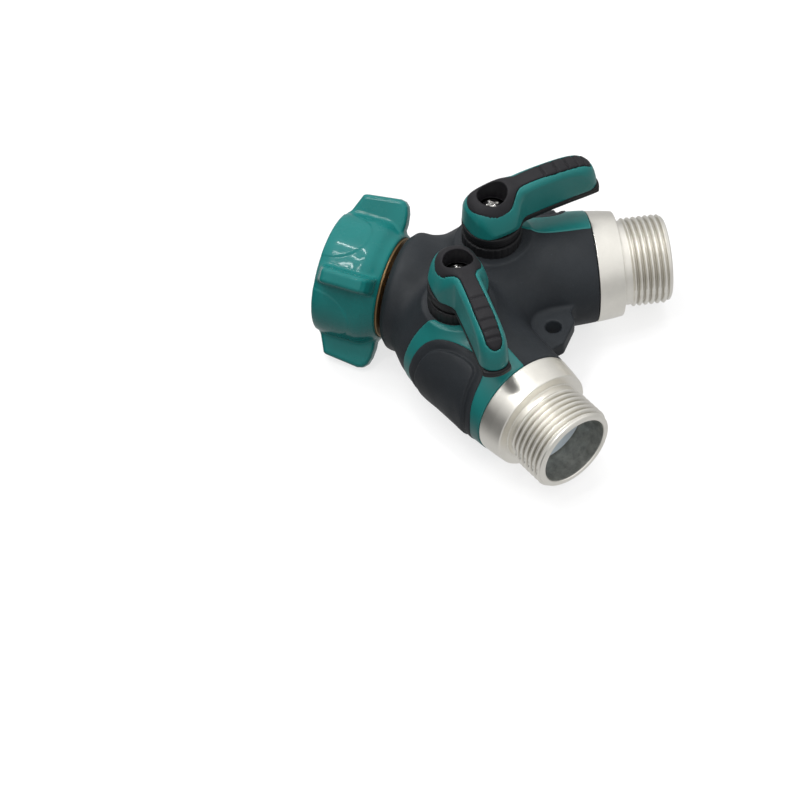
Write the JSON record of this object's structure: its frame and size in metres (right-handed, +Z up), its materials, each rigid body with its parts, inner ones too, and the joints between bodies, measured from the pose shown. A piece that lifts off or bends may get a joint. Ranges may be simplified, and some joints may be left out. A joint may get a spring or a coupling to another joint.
{
  "type": "hose splitter",
  "caption": "Y-shaped garden hose splitter: winged swivel inlet nut, threaded outlets, each with a lever-worked ball valve, soft black grip over a satin metal body.",
  "frame": {"origin": "centre of the inlet mouth, on the inlet axis at the front of the swivel nut", "axes": "+Y from the inlet towards the outlets, +Z up through the valve levers, +X towards the right outlet"},
  "size_m": [0.101, 0.0958, 0.0569],
  "materials": {
    "satin_nickel": "satin",
    "soft_black": "matte",
    "green_plastic": "gloss",
    "black_plastic": "satin",
    "nut_brass": "satin",
    "ball_metal": "polished",
    "seat_ptfe": "satin",
    "sleeve_plastic": "satin",
    "stem_brass": "satin",
    "seal_rubber": "matte",
    "screw_steel": "polished"
  },
  "bodies": {
    "splitter_body": {"valve_body": "satin_nickel", "body_grip_skin": "soft_black", "inlet_tailpiece": "stem_brass", "tailpiece_o_ring": "seal_rubber", "inlet_washer": "seal_rubber", "left_side_panel": "green_plastic", "left_grip_pad": "soft_black", "left_inner_seat": "seat_ptfe", "left_outer_seat": "seat_ptfe", "left_retainer_sleeve": "sleeve_plastic", "left_gland_nut": "black_plastic", "right_side_panel": "green_plastic", "right_grip_pad": "soft_black", "right_inner_seat": "seat_ptfe", "right_outer_seat": "seat_ptfe", "right_retainer_sleeve": "sleeve_plastic", "right_gland_nut": "black_plastic"},
    "swivel_nut": {"swivel_core": "nut_brass", "swivel_grip": "green_plastic"},
    "left_valve": {"left_ball": "ball_metal", "left_stem": "stem_brass", "left_stem_o_ring": "seal_rubber", "left_lever_core": "black_plastic", "left_lever_shell": "green_plastic", "left_lever_inlay": "black_plastic", "left_lever_screw": "screw_steel"},
    "right_valve": {"right_ball": "ball_metal", "right_stem": "stem_brass", "right_stem_o_ring": "seal_rubber", "right_lever_core": "black_plastic", "right_lever_shell": "green_plastic", "right_lever_inlay": "black_plastic", "right_lever_screw": "screw_steel"}
  },
  "joints": [
    {"name": "swivel_nut_spin", "type": "hinge", "parent": "splitter_body", "child": "swivel_nut", "pos_m": [0, 0.0107, 0], "axis": [0, 1, 0], "continuous": true},
    {"name": "left_lever_turn", "type": "hinge", "parent": "splitter_body", "child": "left_valve", "pos_m": [-0.0136, 0.04456, 0.0217], "axis": [0, 0, 1], "range_deg": [-20, 70]},
    {"name": "right_lever_turn", "type": "hinge", "parent": "splitter_body", "child": "right_valve", "pos_m": [0.0136, 0.04456, 0.0217], "axis": [0, 0, 1], "range_deg": [-70, 20]}
  ]
}
